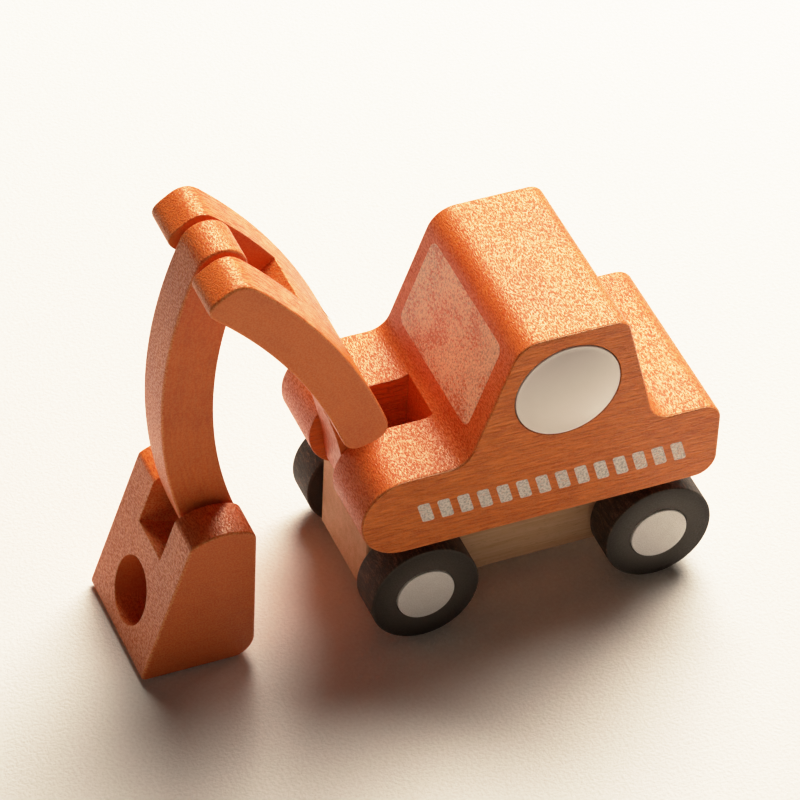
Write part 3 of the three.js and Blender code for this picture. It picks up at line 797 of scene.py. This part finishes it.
def build_dowels():
    for node, body in (("boom_pin", "upper"), ("stick_pin", "boom"), ("bucket_pin", "bucket")):
        low, high = box(node)
        length = high.y - low.y
        sanded_end = [(0, 0), (2.2, 0.02), (2.75, 0.15), (PIN_RADIUS, 0.5)]
        profile = sanded_end + [(PIN_RADIUS, length - 0.4), (2.6, length), (0, length)]
        x, z = pivot(node)
        pin = lathe(f"{node}_turned", profile, "Y", (x, low.y, z), False, 48)
        smooth(pin, 50)
        place(pin, body, wood_dowel, "bare_wood", node)


# ------------------------------------------------------------------------------------------------
# Prints: a windshield panel, and a plain row of slanted bars along each side
# ------------------------------------------------------------------------------------------------

INK_PROUD = 0.05
INK_DEEP = 0.25


def ink_patch(bm, outline, matrix):
    """A thin closed plate of ink, drawn in its own plane, sunk mostly below the surface."""
    rows = []
    for height in (-INK_DEEP, INK_PROUD):
        rows.append([bm.verts.new(matrix @ Vector((u * MM, v * MM, height * MM))) for u, v in outline])
    bm.faces.new(rows[0])
    bm.faces.new(rows[1])
    for i in range(len(outline)):
        j = (i + 1) % len(outline)
        bm.faces.new((rows[0][i], rows[0][j], rows[1][j], rows[1][i]))


def print_windshield():
    low, high = box("cab_body")
    swivel_x = centre("swivel_washer").x
    hood_z = low.z + HOOD_HEIGHT
    slope = Vector((WINDSHIELD_TOP - WINDSHIELD_BASE, 0, high.z - hood_z)).normalized()
    facing = Vector((slope.z, 0, -slope.x))
    corner = Vector((swivel_x + WINDSHIELD_BASE, 0, hood_z)) * MM
    plane = Matrix((
        (0, slope.x, facing.x, corner.x),
        (1, slope.y, facing.y, corner.y),
        (0, slope.z, facing.z, corner.z),
        (0, 0, 0, 1),
    ))
    bm = bmesh.new()
    panel = [(-27.2, 7.8, 3.2), (25.2, 7.8, 3.2), (25.2, 38.2, 3.2), (-27.2, 38.2, 3.2)]
    ink_patch(bm, rounded_outline(panel), plane)
    place(new_object("windshield_print", bm), "upper", windshield_ink, "hub_white")


def print_side_bars():
    low, high = box("cab_body")
    count, pitch, width, height, lean, corner = 14, 6.35, 3.9, 7.4, 2.2, 0.7
    first = low.x + 10.5
    rise = 1.6 / (count * pitch)
    for flank, sign in (("left", 1), ("right", -1)):
        bm = bmesh.new()
        side = Matrix(((1, 0, 0, 0), (0, 0, sign, sign * high.y * MM), (0, 1, 0, 0), (0, 0, 0, 1)))
        for i in range(count):
            x = first + i * pitch
            z = low.z + 9.2 + i * pitch * rise
            ink_patch(bm, rounded_outline([
                (x, z, corner),
                (x + width, z, corner),
                (x + width + sign * lean, z + height, corner),
                (x + sign * lean, z + height, corner),
            ]), side)
        place(new_object(f"side_bars_{flank}", bm), "upper", side_ink, "hub_white")


# ------------------------------------------------------------------------------------------------
# Arm
# ------------------------------------------------------------------------------------------------


def by_dowel(p, *pivots):
    return any(math.dist((p.x, p.z), axis) < PIN_RADIUS + 0.8 for axis in pivots)


def build_boom():
    low, high = box("boom")
    slot_angle = BOOM_TIP_ANGLE + BOOM_SLOT_LENGTH / BOOM_BEND
    bar = square_ended_bar(BOOM_CENTRE, BOOM_BEND, BOOM_DEPTH, BOOM_CHEEK_ANGLE, BOOM_TIP_ANGLE,
                           BOOM_TIP_SKEW, BOOM_CORNER)
    boom = prism("boom_sanded", bar, low.y, high.y)
    slot_end = polar(BOOM_CENTRE, BOOM_BEND, slot_angle)
    to_tip = (math.sin(slot_angle), -math.cos(slot_angle))
    combine(boom, [turned_block(slot_end, to_tip, -BOOM_SLOT_HALF, BOOM_SLOT_HALF, 70)])
    inside = (BOOM_CHEEK_ANGLE + slot_angle) / 2
    foot = round_ended_bar(BOOM_CENTRE, BOOM_BEND, BOOM_DEPTH, BOOM_FOOT_ANGLE, inside)
    combine(boom, [prism("cutter", foot, -BOOM_TONGUE_HALF, BOOM_TONGUE_HALF)], "UNION")
    combine(boom, [
        rod(PIN_RADIUS + BORE_GAP, *BOOM_PIVOT, -BOOM_TONGUE_HALF - CUT, BOOM_TONGUE_HALF + CUT),
        rod(PIN_RADIUS + BORE_GAP, *STICK_PIVOT, low.y - CUT, high.y - PIN_COVER),
    ])

    def is_fine(p):
        return by_dowel(p, BOOM_PIVOT, STICK_PIVOT) or abs(p.y) < BOOM_SLOT_HALF + 0.1

    soften(boom, 1.0, 0.35, is_fine)
    place(boom, "boom", paint_boom, "orange_paint", "boom")


def build_stick():
    low, high = box("stick")
    bar = round_ended_bar(STICK_CENTRE, STICK_BEND, STICK_DEPTH, STICK_TOP_ANGLE, STICK_BOTTOM_ANGLE)
    stick = prism("stick_sanded", bar, low.y, high.y)
    combine(stick, [
        rod(PIN_RADIUS + BORE_GAP, *STICK_PIVOT, low.y - CUT, high.y + CUT),
        rod(PIN_RADIUS + BORE_GAP, *BUCKET_PIVOT, low.y - CUT, high.y + CUT),
    ])
    soften(stick, 0.9, 0.35, lambda p: by_dowel(p, STICK_PIVOT, BUCKET_PIVOT))
    place(stick, "stick", paint_stick, "orange_paint", "stick")


def build_bucket():
    low, high = box("bucket")
    pin_x, pin_z = BUCKET_PIVOT
    bottom_z, back_x = low.z, low.x
    toe = Vector((pin_x + BUCKET_TOE_AHEAD, bottom_z))
    brow = Vector((pin_x + BUCKET_BROW_AHEAD, pin_z + BUCKET_BROW_ABOVE))
    up_face = (brow - toe).normalized()
    facing = Vector((up_face.y, -up_face.x))
    crown_x = (brow.x + back_x) / 2
    crown = (crown_x, brow.y - math.sqrt(BUCKET_CROWN_RADIUS ** 2 - (brow.x - crown_x) ** 2))
    brow_angle = math.atan2(brow.y - crown[1], brow.x - crown[0])
    back_angle = math.pi - brow_angle - BUCKET_BACK_TOP_RADIUS / BUCKET_CROWN_RADIUS
    outline = arc(crown, BUCKET_CROWN_RADIUS, brow_angle, back_angle)
    outline += bend(outline[-1], (back_x, brow.y), (back_x, brow.y - BUCKET_BACK_TOP_RADIUS))[1:]
    heel = (back_x + BUCKET_HEEL_RADIUS, bottom_z + BUCKET_HEEL_RADIUS)
    outline += arc(heel, BUCKET_HEEL_RADIUS, math.pi, 1.5 * math.pi)
    toe_end = toe + up_face * BUCKET_TOE_RADIUS
    outline += bend((toe.x - BUCKET_TOE_RADIUS, bottom_z), tuple(toe), tuple(toe_end))
    bucket = prism("bucket_sanded", outline, low.y, high.y)
    slot_foot = brow - up_face * BUCKET_SLOT_DEPTH
    mouth = toe + up_face * SCOOP_UP_FACE
    scoop_profile = [(0, -SCOOP_DEPTH), (SCOOP_RADIUS, -SCOOP_DEPTH), (SCOOP_RADIUS, CUT), (0, CUT)]
    scoop = lathe("cutter", scoop_profile, "Z", (0, 0, 0), False, 96)
    tilt = Matrix.Rotation(math.atan2(facing.x, facing.y), 4, "Y")
    scoop.data.transform(Matrix.Translation(Vector((mouth.x, 0, mouth.y)) * MM) @ tilt)
    combine(bucket, [
        turned_block(tuple(slot_foot), tuple(up_face), -BUCKET_SLOT_HALF, BUCKET_SLOT_HALF, 90),
        scoop,
        rod(PIN_RADIUS + BORE_GAP, *BUCKET_PIVOT, low.y - CUT, high.y - PIN_COVER),
    ])

    def is_fine(p):
        inside = Vector((p.x, p.z)) - mouth
        by_scoop = math.hypot(inside.dot(up_face), p.y) < SCOOP_RADIUS + 0.5 and inside.dot(facing) < 0.6
        return by_dowel(p, BUCKET_PIVOT) or by_scoop or abs(p.y) < BUCKET_SLOT_HALF + 0.2

    soften(bucket, 0.9, 0.32, is_fine)
    place(bucket, "bucket", paint_bucket, "orange_paint", "bucket")


build_chassis()
build_wheels()
finish_hidden_wood()
build_cab()
build_portholes()
build_dowels()
print_windshield()
print_side_bars()
build_boom()
build_stick()
build_bucket()

# ------------------------------------------------------------------------------------------------
# Floor, light and camera
# ------------------------------------------------------------------------------------------------

scene = bpy.context.scene


def build_floor():
    g = Graph("floor_paper")
    tooth = g.noise(g.position(), 0.9, 3.0, 0.6)
    colour = g.mix(g.ramp(tooth, 0.3, 0.7), (0.84, 0.80, 0.76, 1), (0.90, 0.87, 0.83, 1))
    g.put(g.shader.inputs["Base Color"], colour)
    g.shader.inputs["Roughness"].default_value = 0.8
    g.shader.inputs["Specular IOR Level"].default_value = 0.2
    g.bump(tooth, 0.00035)
    bm = bmesh.new()
    bmesh.ops.create_grid(bm, x_segments=2, y_segments=2, size=4.0)
    floor = new_object("floor", bm)
    floor.data.materials.append(g.material)


def set_camera_response(view):
    """Standard colours with a shoulder that holds detail in what is brighter than white."""
    view.view_transform = "Standard"
    view.look = "None"
    view.use_curve_mapping = True
    mapping = view.curve_mapping
    white = 3.0
    mapping.white_level = (white, white, white)
    knee = 0.5
    points = mapping.curves[3].points
    for level in (0.17, 0.33, 0.5, 0.75, 1.0, 1.5, 2.0):
        held = level if level <= knee else 1 - (1 - knee) * math.exp((knee - level) / (1 - knee))
        points.new(level / white, held)
    mapping.update()


def fill_world(colour, strength):
    """The faint light of the room."""
    world = bpy.data.worlds.new("studio")
    scene.world = world
    world.use_nodes = True
    background = world.node_tree.nodes["Background"]
    background.inputs["Color"].default_value = colour
    background.inputs["Strength"].default_value = strength


def facing_out(azimuth, elevation):
    """The direction from the toy towards an azimuth and elevation. Azimuth 0 is at -Y, 90 at +X."""
    around, above = math.radians(azimuth), math.radians(elevation)
    level = math.cos(above)
    return Vector((math.sin(around) * level, -math.cos(around) * level, math.sin(above)))


def area_light(name, azimuth, elevation, distance, size, power, colour):
    """A soft box aimed at the toy."""
    data = bpy.data.lights.new(name, "AREA")
    data.shape = "RECTANGLE"
    data.size, data.size_y = size
    data.energy = power
    data.color = colour
    lamp = bpy.data.objects.new(name, data)
    scene.collection.objects.link(lamp)
    direction = facing_out(azimuth, elevation)
    lamp.location = direction * distance
    lamp.rotation_mode = "QUATERNION"
    lamp.rotation_quaternion = direction.to_track_quat("Z", "Y")


def place_camera(azimuth, elevation, roll, eye, lens):
    data = bpy.data.cameras.new("camera")
    data.sensor_width = 36
    data.lens = lens
    data.clip_start, data.clip_end = 0.05, 50
    camera = bpy.data.objects.new("camera", data)
    scene.collection.objects.link(camera)
    back = facing_out(azimuth, elevation)
    right = Vector((0, 0, 1)).cross(back).normalized()
    up = back.cross(right)
    tilt = math.radians(roll)
    across = math.cos(tilt) * right + math.sin(tilt) * up
    upward = -math.sin(tilt) * right + math.cos(tilt) * up
    camera.matrix_world = Matrix((
        (across.x, upward.x, back.x, eye[0]),
        (across.y, upward.y, back.y, eye[1]),
        (across.z, upward.z, back.z, eye[2]),
        (0, 0, 0, 1),
    ))
    scene.camera = camera


build_floor()
set_camera_response(scene.view_settings)
fill_world((1.0, 0.9, 0.8, 1), 0.012)
area_light("window", -41, 49, 1.6, (1.22, 1.00), 74, (1.0, 0.89, 0.75))
area_light("card", 150, 28, 1.4, (1.2, 0.8), 1.3, (1.0, 0.78, 0.60))
place_camera(155.829, 42.436, 2.779, (0.4528, 1.0076, 1.0772), 224.7)
